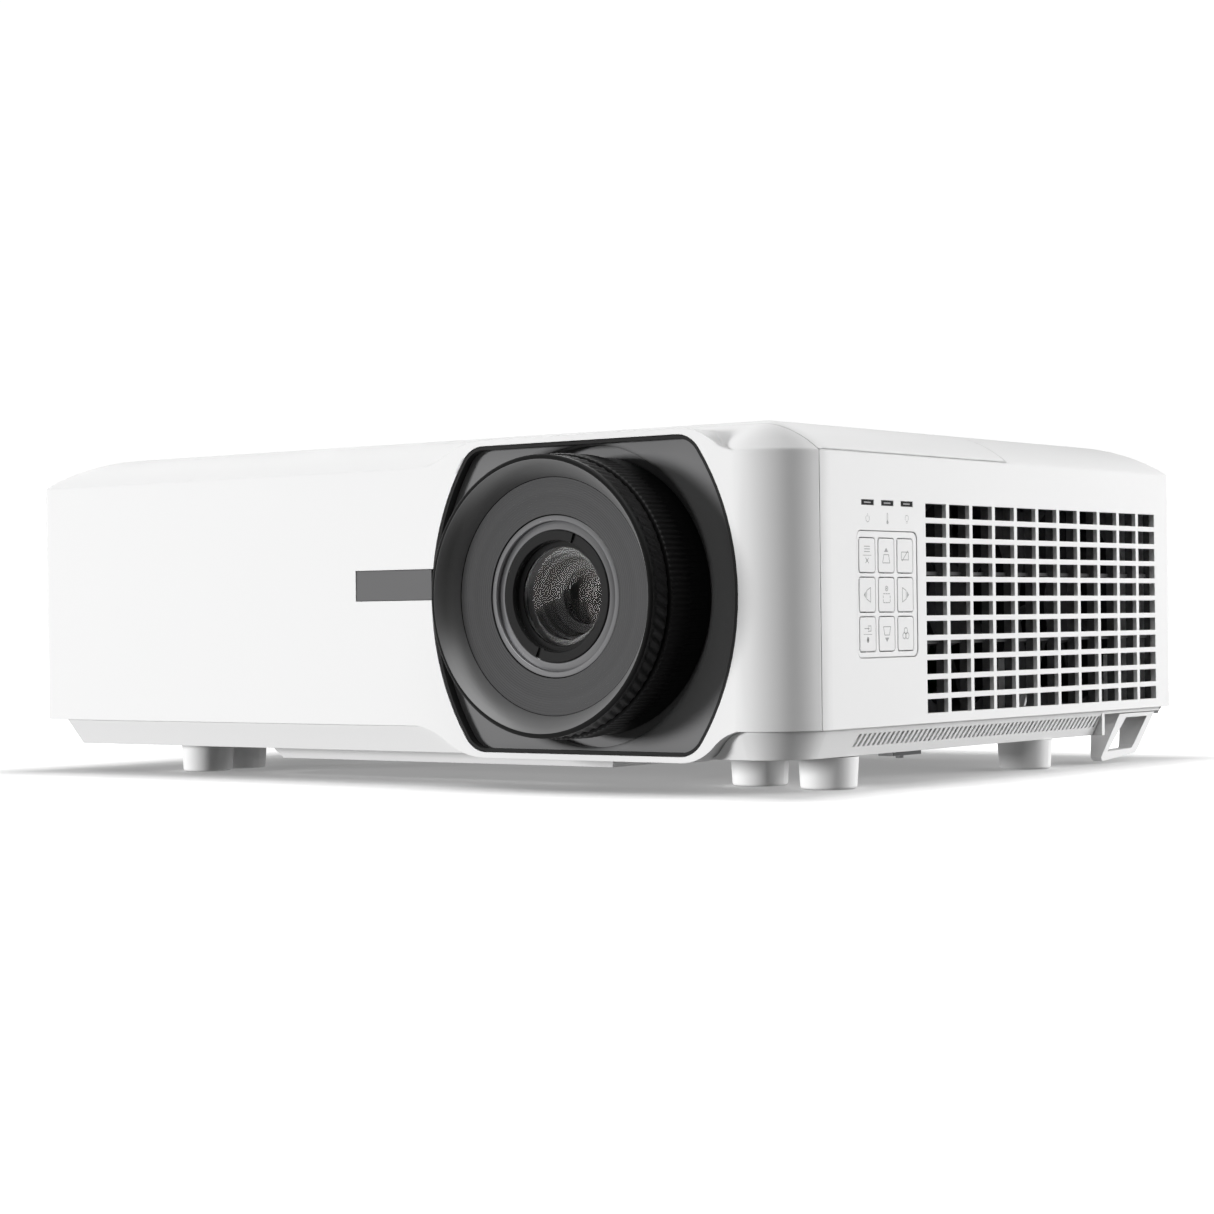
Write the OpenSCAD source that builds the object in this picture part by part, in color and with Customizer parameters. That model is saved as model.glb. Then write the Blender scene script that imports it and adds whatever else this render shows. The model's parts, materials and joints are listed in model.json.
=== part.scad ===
// Large-room laser projector. White two-part shell on a sloping tray, square zoom lens plate
// right of centre, keypad and exhaust grille on the right side, adjustable front feet.
// Front faces -Y, the keypad side faces +X, and the feet stand on Z = 0. Millimetres.

/* [Body] */
// Width of the shell, side to side
body_w = 405; // [400:1:410]
// Depth of the shell, front face to rear face
body_d = 305; // [303:1:308]
// Height of the flat top above the surface the feet stand on
top_z = 140.5; // [140:0.5:141]
// Height of the seam between the shell and the tray
seam_z = 23.4; // [23:0.2:23.8]
// Thickness of the shell walls
wall = 2.5; // [2.3:0.1:2.7]
// How far in from each face the crown reaches its full height
crown_inset = 34; // [33:1:35]
// Radius of the arc of the crown
crown_r = 51.26; // [51:0.1:51.6]
// Radius of the vertical corner between the front and the keypad side
corner_r = 26; // [25:1:27]
// Distance of the front cover's seam behind the front face
cover_depth = 19.5; // [19:0.5:20]

/* [Lens] */
// Distance that the lens rim stands out of the front face
lens_out = 25; // [24.5:0.5:25.5]
// Lens axis, right of centre
lens_x = 103.3; // [103:0.1:103.6]
// Lens axis above the surface
lens_z = 74.6; // [74.4:0.1:74.8]
// Half width of the lens plate
plate_half_w = 74.65; // [74.4:0.05:74.9]
// Half height of the lens plate
plate_half_h = 60.35; // [60.2:0.05:60.5]
// Radius of the plate's bowed sides
plate_side_r = 97; // [95:1:99]
// Radius of the plate's corners
plate_corner_r = 12; // [11:1:13]
// Radius of the focus ring over its grip
focus_r = 53.9; // [53.7:0.1:54]
// Radius of the zoom ring over its grip
zoom_r = 54.8; // [54.6:0.1:54.9]

/* [Grille and keys] */
// Columns of openings in a side grille
grille_cols = 11; // [10:1:12]
// Rows of openings in a side grille
grille_rows = 11; // [10:1:12]
// Distance from one grille column to the next
grille_pitch_y = 18.2; // [18.1:0.1:18.3]
// Distance from one grille row to the next
grille_pitch_z = 7.66; // [7.6:0.02:7.7]
// Width of a key
key_w = 11.3; // [11:0.1:11.4]
// Height of a key
key_h = 13; // [12.8:0.1:13.1]
// Number of slanted vents along the tray
vent_count = 62; // [50:1:62]

/* [Feet and mounts] */
// Radius of a foot at its top
foot_r = 11.65; // [11.4:0.05:11.8]
// Height of a foot under the tray
foot_h = 12.2; // [12.1:0.1:12.3]
// Ceiling bracket holes, side to side
bracket_x = 220; // [216:2:224]
// Ceiling bracket holes, front to rear
bracket_y = 150; // [146:2:154]
// Radius of an M4 thread
m4_r = 2; // [2:0.05:2.1]

/* [Hidden] */
$fn = 96;

// Main planes of the shell
half_w = body_w / 2;
front_y = (lens_out - body_d) / 2;
rear_y = front_y + body_d;
rim_y = front_y - lens_out;
cover_y = front_y + cover_depth;
gap = 0.4;
// Fine gap between the side walls and the tray, and under the lid
seam_gap = 0.15;
fit = 0.05;
white = [0.93, 0.93, 0.92];
black = [0.08, 0.08, 0.085];
grey = [0.3, 0.3, 0.31];
metal = [0.7, 0.71, 0.72];
pcb = [0.1, 0.35, 0.2];

// Tray: inset of its sides under the shell, at the seam and at the bottom
tray_top_in = 2.6;
tray_low_in = 7.5;
tray_left_in = 7;
tray_z = 12.5;
tray_top_z = seam_z - seam_gap;
tray_floor = 2.5;

// Lens plate and the raised rim of the front cover round it
plate_z = lens_z - 0.45;
rim_w = 2.6;
bulge_w = 31;
bulge_left_w = 38;
bulge_depth = 12;
plate_recess = 4;
bowl_r = 58.8;
bowl_lip = 3;
baffle_r = 49.4;

// Access lid over the lens-shift dials
lid_x0 = 20;
lid_y0 = cover_y;
lid_y1 = 19;
lid_z = 127.9;
ledge = 6;

// Grilles: lower front corner of the first opening, and the bars
grille_y = -46;
grille_z = 27.3;
bar_y = 2.5;
bar_z = 2.15;
grille_len = grille_cols * grille_pitch_y - bar_y;
grille_h = grille_rows * grille_pitch_z - bar_z;
bar_depth = 1.8;

// Status windows: middle one, and the pitch and size of all three
led_y = -74.1;
led_z = 107.9;
led_pitch = 14.2;
led_w = 8.6;
led_h = 1.8;

// Keypad: centre of the middle key, pitches and travel
key_y = -75.2;
key_z = 73.7;
key_pitch_y = 13.7;
key_pitch_z = 15;
key_gap = 0.3;
key_back_x = half_w - 4.6;
board_x = half_w - 10.1;

// Feet and ceiling bracket
foot_right = [184.5, -89.8];
foot_left = [-136.3, -105.2];
fixed_feet_at = [[149.1, -84.3], [-139.4, -81.1], [184.5, 63.5], [-173, 63.5]];
stud_r = 3;
bracket_at = [0, 30];
insert_r = 3.5;
insert_h = 10.5;

// Panel under the tray and its screws
panel_x = 95;
panel_y = [-107.5, 115];
panel_h = 5.9;
panel_slope = 4;
panel_z = tray_z - 0.1 - panel_h;
base_screw_at = [for (x = [-80, 0, 80], y = [-90, 98]) [x, y]];
screw_shank_r = 1.6;

// Rear panel
io_x0 = -150;
io_x1 = 172;
io_z0 = 30;
io_z1 = 104;
io_y = rear_y - 3.4;
socket_y0 = 147.8;

// ---------- shared helpers ----------

// A profile drawn in X and Z, run from y0 to y1
module along_y(y0, y1) {
    translate([0, y1, 0]) rotate([90, 0, 0]) linear_extrude(y1 - y0) children();
}

// A profile drawn in Y and Z, run from x0 to x1
module along_x(x0, x1) {
    translate([x0, 0, 0]) rotate([90, 0, 90]) linear_extrude(x1 - x0) children();
}

// A cylinder along Y from y0 to y1
module rod_y(x, z, r, y0, y1) {
    translate([x, y1, z]) rotate([90, 0, 0]) cylinder(r = r, h = y1 - y0);
}

// A cylinder along X from x0 to x1
module rod_x(y, z, r, x0, x1) {
    translate([x0, y, z]) rotate([0, 90, 0]) cylinder(r = r, h = x1 - x0);
}

// A profile of radius and Y turned about the lens axis
module lens_turn() {
    translate([lens_x, 0, lens_z]) rotate([-90, 0, 0]) rotate_extrude() children();
}

// A box from its two corners
module span(low, high) {
    translate(low) cube(high - low);
}

// Points of an arc, angles in degrees
function arc(c, r, a0, a1, n) =
    [for (i = [0 : n]) let (a = a0 + (a1 - a0) * i / n) [c.x + r * cos(a), c.y + r * sin(a)]];

// A rectangle with round corners, centred
module round_rect(w, h, r) {
    union() {
        square([w - 2 * r, h], center = true);
        square([w, h - 2 * r], center = true);
        for (sx = [-1, 1], sy = [-1, 1])
            translate([sx * (w / 2 - r), sy * (h / 2 - r)]) circle(r);
    }
}

// ---------- shell form ----------

function crown_top(t) =
    top_z - crown_r + sqrt(pow(crown_r - t, 2) - pow(crown_inset - t, 2));

// Section of the shell between two faces, inset by t
module crown_section(lo, hi, t, z0) {
    intersection() {
        union() {
            translate([lo + crown_inset, z0])
                square([hi - lo - 2 * crown_inset, top_z - t - z0]);
            for (u = [lo + crown_inset, hi - crown_inset])
                translate([u, top_z - crown_r]) circle(crown_r - t);
            translate([lo + t, z0]) square([hi - lo - 2 * t, crown_top(t) - z0]);
        }
        translate([lo + t, z0]) square([hi - lo - 2 * t, top_z - z0]);
    }
}

// Section of the crown swept round the front right corner
module corner_section(t, z0) {
    intersection() {
        union() {
            translate([corner_r - crown_inset, top_z - crown_r]) circle(crown_r - t);
            translate([0, z0]) square([corner_r - t, crown_top(t) - z0]);
        }
        translate([0, z0]) square([corner_r - t, top_z - z0]);
    }
}

// Outer form of the body, inset by t, above z0
module form(t, z0) {
    corner = [half_w - corner_r, front_y + corner_r];
    union() {
        difference() {
            intersection() {
                along_y(front_y + t, rear_y - t) crown_section(-half_w, half_w, t, z0);
                along_x(t - half_w, half_w - t) crown_section(front_y, rear_y, t, z0);
            }
            translate([corner.x, corner.y - corner_r - 1, z0 - 1])
                cube([corner_r + 1, corner_r + 1, top_z]);
        }
        translate([corner.x, corner.y, 0]) rotate([0, 0, -90])
            rotate_extrude(angle = 90) corner_section(t, z0);
    }
}

module shell() {
    difference() {
        form(0, seam_z);
        form(wall, seam_z - 1);
    }
}

// Outline of the lens plate, grown by g, round its own centre
function plate_points(g) =
    let (c = plate_side_r - plate_half_w,
        cz = plate_half_h - plate_corner_r,
        cx = sqrt(pow(plate_side_r - plate_corner_r, 2) - pow(cz, 2)) - c,
        a = atan2(cz, cx + c),
        quarter = concat(arc([-c, 0], plate_side_r + g, 0, a, 10),
            arc([cx, cz], plate_corner_r + g, a, 90, 8)),
        half = concat(quarter, [for (i = [len(quarter) - 1 : -1 : 0]) [-quarter[i].x, quarter[i].y]]))
    concat(half, [for (i = [len(half) - 2 : -1 : 1]) [half[i].x, -half[i].y]]);

module plate_2d(g) {
    translate([lens_x, plate_z]) polygon(plate_points(g));
}

// One S-shaped shoulder of the raised rim, from the flat (x = 0, z = h) out to (w, 0)
function shoulder(w, h) =
    let (r = (pow(w / 2, 2) + pow(h / 2, 2)) / h, a = asin(w / 2 / r))
    concat([for (i = [0 : 8]) [r * sin(a * i / 8), h - r + r * cos(a * i / 8)]],
        [for (i = [7 : -1 : 0]) [w - r * sin(a * i / 8), r - r * cos(a * i / 8)]]);

// Raised rim: flat over the plate, with a shoulder down to the crease on each side
module bulge_2d(g) {
    flat = 48 + g;
    up = plate_half_h + rim_w + g;
    sunk = 0.4;
    top = crown_top(0) - plate_z - sunk;
    bottom = plate_z - seam_z - sunk;
    upper = shoulder(bulge_w, up - top);
    lower = shoulder(bulge_w - 1, up - bottom);
    upper_left = shoulder(bulge_left_w, up - top);
    lower_left = shoulder(bulge_left_w + 3, up - bottom);
    translate([lens_x, plate_z]) polygon(concat(
        [for (p = upper) [flat + p.x, top + p.y]],
        [for (i = [len(lower) - 1 : -1 : 0]) [flat + lower[i].x, -bottom - lower[i].y]],
        [for (p = lower_left) [-flat - p.x, -bottom - p.y]],
        [for (i = [len(upper_left) - 1 : -1 : 0]) [-flat - upper_left[i].x, top + upper_left[i].y]]));
}

// ---------- shell pieces ----------

module lid_region(g) {
    translate([lid_x0 - g, lid_y0 + gap - g, lid_z - min(g, seam_gap)])
        cube([half_w, lid_y1 - lid_y0 - gap + 2 * g, top_z]);
}

// Bars of a side grille, flush with the outside of the wall
module grille_bars(x0, x1) {
    for (i = [1 : grille_cols - 1])
        translate([x0, grille_y + i * grille_pitch_y - bar_y, grille_z - 1])
            cube([x1 - x0, bar_y, grille_h + 2]);
    for (i = [1 : grille_rows - 1])
        translate([x0, grille_y - 1, grille_z + i * grille_pitch_z - bar_z])
            cube([x1 - x0, grille_len + 2, bar_z]);
}

module grille_window(x0, x1) {
    translate([x0, grille_y, grille_z]) cube([x1 - x0, grille_len, grille_h]);
}

module top_cover() color(white) {
    difference() {
        shell();
        translate([-half_w - 1, front_y - 1, 0]) cube([body_w + 2, cover_depth + gap + 1, top_z + 1]);
        lid_region(gap);
        grille_window(half_w - wall - 1, half_w + 1);
        grille_window(-half_w - 1, wall + 1 - half_w);
        keypad_window(0.3);
        led_slots(0.15, half_w + 1);
        span([io_x0, rear_y - wall - 1, io_z0], [io_x1, rear_y + 1, io_z1]);
    }
    grille_bars(half_w - bar_depth, half_w);
    grille_bars(-half_w, bar_depth - half_w);
    // Ledge that the lid closes on, joined to the shell outside the lid
    intersection() {
        difference() {
            form(wall - 0.1, lid_z - ledge);
            form(2 * wall + gap, lid_z - ledge - 1);
            translate([lid_x0 + ledge, lid_y0 + ledge, 0])
                cube([half_w - lid_x0 - 3 * ledge, lid_y1 - lid_y0 - 2 * ledge, top_z]);
            difference() {
                lid_region(gap);
                form(wall + gap, lid_z - ledge);
            }
        }
        translate([lid_x0 - ledge, lid_y0 + 1, lid_z - ledge])
            cube([half_w, lid_y1 - lid_y0 + ledge, top_z]);
    }
    // Bosses that hold the key board
    for (y = [-101, -48.6], z = [56, 92])
        rod_x(y, z, 2, board_x + 1.6, half_w - wall + 0.1);
}

module access_lid() color(white) {
    intersection() {
        difference() {
            form(0, lid_z);
            form(wall, lid_z - 1);
        }
        lid_region(0);
    }
}

// Prism with the footprint of the front right corner, inset by t
module corner_prism(t) {
    union() {
        span([-half_w, front_y - 1, 0], [half_w - corner_r, front_y + corner_r, top_z]);
        translate([half_w - corner_r, front_y + corner_r, 0]) cylinder(r = corner_r - t, h = top_z);
    }
}

module front_cover() color(white) {
    difference() {
        union() {
            intersection() {
                shell();
                translate([-half_w - 1, front_y - 1, 0]) cube([body_w + 2, cover_depth + 1, top_z + 1]);
            }
            intersection() {
                along_y(front_y, front_y + bulge_depth) bulge_2d(0);
                corner_prism(0.1);
            }
        }
        along_y(front_y - 1, front_y + bulge_depth + 3) plate_2d(0.3);
        span([-13.1, front_y - 1, 74.1], [60, front_y + wall + 1, 86.7]);
        // Hollow behind the front wall, up to the rim round the plate
        difference() {
            intersection() {
                span([lens_x - 90, front_y + wall, seam_z + 1],
                    [half_w - 12, front_y + bulge_depth + 1, crown_top(wall) - 1]);
                corner_prism(wall + 0.1);
            }
            along_y(front_y, front_y + bulge_depth + 2) plate_2d(rim_w);
        }
    }
}

module keypad_window(g) {
    along_x(half_w - wall - 1, half_w + 1)
        translate([key_y + 0.7, key_z + 0.2]) round_rect(44 - 0.6 + 2 * g, 48.6 - 0.6 + 2 * g, 3);
}

module led_slots(g, x1) {
    for (i = [-1 : 1])
        span([half_w - 6, led_y + i * led_pitch - led_w / 2 - g, led_z - g],
            [x1, led_y + i * led_pitch + led_w / 2 + g, led_z + led_h + g]);
}

function tray_in(z) = tray_top_in + (tray_low_in - tray_top_in) * (tray_top_z - z) / (tray_top_z - tray_z);

module tray_section(lo, hi, t, z0, z1) {
    polygon([[lo + tray_in(z0) + t, z0], [hi - tray_in(z0) - t, z0],
        [hi - tray_in(z1) - t, z1], [lo + tray_in(z1) + t, z1]]);
}

// Sloping tray form, inset by t, from z0 to z1
module tray_form(t, z0, z1) {
    corner = [half_w - corner_r, front_y + corner_r];
    union() {
        difference() {
            intersection() {
                along_y(front_y, rear_y) tray_section(tray_left_in - half_w, half_w, t, z0, z1);
                along_x(-half_w, half_w) tray_section(front_y, rear_y, t, z0, z1);
            }
            translate([corner.x, corner.y - corner_r - 1, z0 - 1])
                cube([corner_r + 1, corner_r + 1, z1]);
        }
        translate([corner.x, corner.y, z0])
            cylinder(r1 = corner_r - tray_in(z0) - t, r2 = corner_r - tray_in(z1) - t, h = z1 - z0);
    }
}

// Slanted vents along the keypad side of the tray
module tray_vents() {
    pitch = 3.45;
    lean = 1.9;
    slot = 1.7;
    for (i = [0 : vent_count - 1])
        translate([0, -92 + i * pitch, 0])
            along_x(half_w - 9, half_w + 1)
                polygon([[0, 16.1], [slot, 16.1], [slot + lean, 20.9], [lean, 20.9]]);
}

module bottom_tray() color(white) {
    difference() {
        union() {
            difference() {
                tray_form(0, tray_z, tray_top_z);
                tray_form(wall, tray_z + tray_floor, tray_top_z + 1);
            }
            for (p = [foot_right, foot_left])
                translate([p.x, p.y, tray_z]) cylinder(r = 7, h = 22);
            at_bracket() cylinder(r = 7, h = insert_h + 2);
            grille_post(29.9, tray_z + 1);
        }
        tray_vents();
        along_y(front_y - 1, front_y + bulge_depth + 5) bulge_2d(gap);
        for (p = [foot_right, foot_left])
            translate([p.x, p.y, 0]) cylinder(r = stud_r + fit, h = 60);
        at_bracket() translate([0, 0, -1]) cylinder(r = insert_r, h = insert_h + 1);
        for (p = base_screw_at)
            translate([p.x, p.y, 0]) cylinder(r = screw_shank_r + fit, h = tray_z + tray_floor + 1);
        // Pocket behind the security bar
        span([176, 108, 0], [half_w + 1, 161, tray_top_z + 1]);
        // Slots in the floor under the intake fan
        for (i = [0 : 9])
            span([-170, -60 + i * 12, 0], [-120, -55 + i * 12, tray_z + 5]);
    }
    // Walls and ceiling of the pocket, open to the side and the rear
    difference() {
        span([173.5, 105.5, tray_z], [half_w - wall - 0.6, 160.5, tray_top_z]);
        span([176, 108, 0], [half_w + 1, rear_y, tray_top_z - 1.6]);
    }
    grille_post(123.5, tray_top_z - 1);
    // Ledge under the left wall of the shell
    span([tray_top_in - half_w, front_y + 15, tray_top_z - 2],
        [tray_left_in + tray_top_in + 2.4 - half_w, rear_y - 15, tray_top_z]);
}

// Post seen through the lower openings of the exhaust grille
module grille_post(y, z0) {
    span([192, y - 1.8, z0], [195.6, y + 1.8, 47.3]);
}

module at_bracket() {
    for (sx = [-1, 1], sy = [-1, 1])
        translate([bracket_at.x + sx * bracket_x / 2, bracket_at.y + sy * bracket_y / 2, tray_z])
            children();
}

// Sloping pan form of the base panel, inset by t, from z0 up
module panel_form(t, z0) {
    top = panel_z + panel_h + t;
    intersection() {
        along_y(panel_y[0] + t, panel_y[1] - t)
            polygon([[panel_slope + t - panel_x, z0], [panel_x - panel_slope - t, z0],
                [panel_x - t, top], [t - panel_x, top]]);
        along_x(t - panel_x, panel_x - t)
            polygon([[panel_y[0] + panel_slope + t, z0], [panel_y[1] - panel_slope - t, z0],
                [panel_y[1] - t, top], [panel_y[0] + t, top]]);
    }
}

module base_panel() color(white) {
    difference() {
        panel_form(0, panel_z);
        difference() {
            panel_form(wall, panel_z + 2);
            for (p = base_screw_at) translate([p.x, p.y, panel_z]) cylinder(r = 5, h = 4.2);
        }
        for (p = base_screw_at)
            translate([p.x, p.y, panel_z - 1]) {
                cylinder(r = screw_shank_r + 0.1, h = panel_h + 1);
                cylinder(r = 3.2, h = 3.2);
            }
    }
}

module base_screws() color(metal) {
    for (p = base_screw_at)
        translate([p.x, p.y, panel_z + 0.2]) {
            difference() {
                cylinder(r = 3, h = 2);
                translate([-0.5, -2, -1]) cube([1, 4, 1.8]);
                translate([-2, -0.5, -1]) cube([4, 1, 1.8]);
            }
            translate([0, 0, 2]) cylinder(r = screw_shank_r, h = 6.2);
        }
}

module security_bar() color(white) {
    intersection() {
        difference() {
            along_x(184, 198.3)
                polygon([[124.6, 21.2], [109.2, 2.6], [110.6, 0.9], [141.6, 3.4], [144.5, 5.4], [158.4, 21.2]]);
            along_x(183, 199)
                polygon([[130.9, 19.4], [115.2, 5], [137.9, 5.6], [139.6, 7], [151.2, 19.4]]);
        }
        along_y(100, 160) polygon([[184.2, 21.2], [192.6, 0.5], [196.6, 0.5], [198.2, 21.2]]);
    }
}

module mount_inserts() color([0.8, 0.65, 0.3]) {
    at_bracket() difference() {
        cylinder(r = insert_r, h = insert_h);
        translate([0, 0, -1]) cylinder(r = m4_r, h = insert_h + 2);
    }
}

// Rounded foot, open or closed at the top
module foot(h, hole_r, hole_z) {
    rotate_extrude() difference() {
        union() {
            polygon([[0, 0], [9.7, 0], [10.9, 1.2], [foot_r, h], [0, h]]);
            translate([9.7, 1.2]) circle(1.2);
        }
        if (hole_r > 0) translate([-1, hole_z]) square([hole_r + 1, h]);
    }
}

module foot_cup_at(p) {
    translate([p.x, p.y, 0]) foot(foot_h, stud_r + fit, 4);
}

module foot_stud_at(p) {
    translate([p.x, p.y, 4.2]) cylinder(r = stud_r, h = 38);
}

module foot_cup_right() color(white) foot_cup_at(foot_right);
module foot_cup_left() color(white) foot_cup_at(foot_left);
module foot_stud_right() color(metal) foot_stud_at(foot_right);
module foot_stud_left() color(metal) foot_stud_at(foot_left);

module fixed_feet() color(white) {
    for (p = fixed_feet_at)
        translate([p.x, p.y, 0]) foot(tray_z - 0.05, 0, 0);
}

// ---------- front ----------

module lens_plate() color(black) {
    back = front_y + plate_recess;
    difference() {
        union() {
            along_y(front_y + 0.3, back + 2) plate_2d(0);
            rod_y(lens_x, lens_z, bowl_r + 1.2, back, back + 10.2);
        }
        along_y(front_y - 1, back) plate_2d(-1.2);
        rod_y(lens_x, lens_z, bowl_r, back - 1, back + 9);
        rod_y(lens_x, lens_z, baffle_r, back - 1, back + 11);
        lens_turn() difference() {
            translate([bowl_r - 1, back - 0.01]) square([bowl_lip + 1, bowl_lip]);
            translate([bowl_r + bowl_lip, back + bowl_lip]) circle(bowl_lip);
        }
    }
}

module ir_window() color(grey)
    span([-12.9, front_y + 0.3, 74.3], [28, front_y + wall + 0.5, 86.5]);

module led_windows() color(black) led_slots(0, half_w - 0.1);

module inner_grille() color(grey) {
    x0 = half_w - wall - 2.9;
    x1 = half_w - wall - 0.2;
    x2 = half_w - bar_depth - 0.1;
    difference() {
        span([x0, grille_y - 3, grille_z - 3], [x1, grille_y + grille_len + 3, grille_z + grille_h + 3]);
        translate([x0 - 1, grille_y, grille_z]) cube([9, grille_len, grille_h]);
        for (y = [-48.6], z = [56, 92]) rod_x(y, z, 2.3, x0 - 1, x1 + 1);
    }
    // Fins: joined to the frame at the back, clear of the shell in front
    for (i = [1 : grille_cols - 1], g = [[1, x1], [-0.1, x2]])
        translate([x0, grille_y + i * grille_pitch_y - bar_y + 0.3, grille_z - g[0]])
            cube([g[1] - x0, bar_y - 0.6, grille_h + 2 * g[0]]);
    for (z = [0.33, 0.66])
        translate([x0, grille_y - 1, grille_z + grille_h * z]) cube([1.2, grille_len + 2, 1.4]);
}

// ---------- keypad ----------

// Place of a key: column and row from -1 to 1
module at_key(col, row) {
    translate([0, key_y + col * key_pitch_y, key_z + row * key_pitch_z]) children();
}

module key_outline(g) {
    round_rect(key_w + 2 * g, key_h + 2 * g, 1.2 + g);
}

module keypad_bezel() color(white) {
    difference() {
        union() {
            along_x(half_w - wall - 0.1, half_w - 0.2)
                translate([key_y + 0.7, key_z + 0.2]) round_rect(43.4, 48, 3);
            along_x(half_w - wall - 1.8, half_w - wall - 0.1)
                translate([key_y + 0.7, key_z + 0.2]) round_rect(47, 51.6, 4);
        }
        for (col = [-1 : 1], row = [-1 : 1])
            at_key(col, row) along_x(half_w - wall - 3, half_w + 1) key_outline(key_gap);
    }
}

// One key: face, skirt behind the bezel and a plunger for its switch
module key(col, row) color(white) {
    at_key(col, row) {
        along_x(key_back_x, half_w - 0.1) key_outline(0);
        rod_x(0, 0, 2.4, board_x + 3.3, key_back_x);
    }
}

module key_menu() key(-1, 1);
module key_up() key(0, 1);
module key_blank() key(1, 1);
module key_left() key(-1, 0);
module key_enter() key(0, 0);
module key_right() key(1, 0);
module key_source() key(-1, -1);
module key_down() key(0, -1);
module key_mode() key(1, -1);

module keypad_board() color(pcb) {
    span([board_x, -104, key_z - 25], [board_x + 1.6, -46.2, key_z + 38.5]);
    for (col = [-1 : 1], row = [-1 : 1])
        at_key(col, row) span([board_x + 1.6, -3, -3], [board_x + 2.1, 3, 3]);
}

// ---------- lens ----------

module focus_ring() color(black) {
    back = front_y - 14.2;
    flutes = 72;
    difference() {
        lens_turn() polygon([[52, rim_y], [52.4, rim_y], [53.2, rim_y + 0.8], [focus_r, rim_y + 1.4],
            [focus_r, back - 1.2], [53, back - 0.4], [53, back], [48, back], [48, back + 8.2],
            [45.7, back + 8.2], [45.7, rim_y + 8.6]]);
        for (i = [0 : flutes - 1])
            translate([lens_x, 0, lens_z]) rotate([0, i * 360 / flutes, 0])
                rod_y(focus_r + 0.5, 0, 1.1, rim_y + 2.2, back - 1.6);
    }
}

module zoom_ring() color(black) {
    front = front_y - 13.7;
    ribs = 90;
    difference() {
        lens_turn() polygon([[48.4, front], [54, front], [zoom_r, front + 0.6], [zoom_r, front_y - 1],
            [54, front_y - 0.2], [54, front_y + 12], [50.2, front_y + 12], [50.2, front_y],
            [45.7, front_y], [45.7, front + 8.1], [48.4, front + 8.1]]);
        for (i = [0 : ribs - 1])
            translate([lens_x, 0, lens_z]) rotate([0, i * 360 / ribs, 0])
                rod_y(zoom_r + 0.3, 0, 0.9, front + 1.4, front + 9);
    }
}

module lens_barrel() color(black) {
    lens_turn() polygon([[38.05, -154.9], [45.65, -154.9], [45.65, -139.6], [44, -139.6], [44, -122],
        [40, -122], [40, -96], [45, -96], [45, -91], [40, -91], [40, -50], [34, -50], [34, -20],
        [26, -20], [26, -54], [38.05, -54]]);
}

module front_trim() color(grey) {
    lens_turn() polygon([[31.4, -154.9], [45.4, -156.2], [45.6, -155.9], [45.6, -154.9], [38, -154.9],
        [38, -153.9], [31.4, -153.9]]);
}

module silver_ring() color(metal) {
    lens_turn() polygon([[28.9, -154.6], [30.8, -154.6], [31.1, -154.3], [31.1, -152.2], [25.4, -152.2],
        [25.4, -153.2], [25.7, -153.5], [28.5, -153.2], [28.9, -152.8]]);
}

module retainer_ring() color(black) {
    difference() {
        lens_turn() polygon([[21.2, -152.6], [21.6, -153.6], [25, -153.9], [25.3, -153.6], [25.3, -152.25],
            [21.2, -152.25]]);
        for (a = [22, 202])
            translate([lens_x, 0, lens_z]) rotate([0, a, 0])
                span([-1, -155, 20], [1, -152.9, 26]);
    }
}

module focus_cell() color(black) {
    lens_turn() polygon([[21, -152.15], [31.2, -152.15], [31.2, -118], [38, -118], [38, -108],
        [24, -108], [24, -129], [11.6, -129], [11.6, -131], [10.6, -131], [10.6, -135.4], [14, -136.5],
        [15.3, -139], [15.3, -142.3], [16.5, -142.6], [16.5, -146.6], [19.2, -146.8], [19.2, -150.2],
        [21, -150.6]]);
}

module front_glass() color([0.6, 0.7, 0.75, 0.4]) {
    lens_turn() polygon(concat([[0, -147.6], [19.1, -146.9], [19.1, -149.4]],
        [for (i = [1 : 12]) let (r = 19.1 * (1 - i / 12)) [r, 46.5 - sqrt(pow(196.8, 2) - pow(r, 2)) - 0.1]]));
}

module middle_glass() color([0.2, 0.25, 0.22, 0.6]) {
    lens_turn() polygon(concat([[0, -129.1], [11.5, -129.1], [11.5, -130.95], [10.5, -130.95]],
        [for (i = [0 : 8]) let (r = 10.5 * (1 - i / 8)) [r, 27 - sqrt(pow(160.5, 2) - pow(r, 2)) + 0.1]]));
}

module zoom_cell() color(black) {
    lens_turn() polygon([[30, -96], [38, -96], [38, -90], [34, -90], [34, -68], [38, -68], [38, -60],
        [26, -60], [26, -64], [24, -64], [24, -72], [26, -72], [26, -92], [30, -92]]);
}

module rear_glass() color([0.6, 0.7, 0.75, 0.4]) {
    lens_turn() polygon(concat([[0, -66], [23.9, -66], [23.9, -70]],
        [for (i = [1 : 12]) let (r = 23.9 * (1 - i / 12)) [r, -3 - sqrt(pow(71.1, 2) - pow(r, 2))]]));
}

// ---------- lens shift ----------

screw_v_x = 36;
screw_v_y = -104;
screw_h_y = -80;
screw_h_z = 125;
guide_x = [53, 153.6];
screw_r = 2.5;

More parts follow.
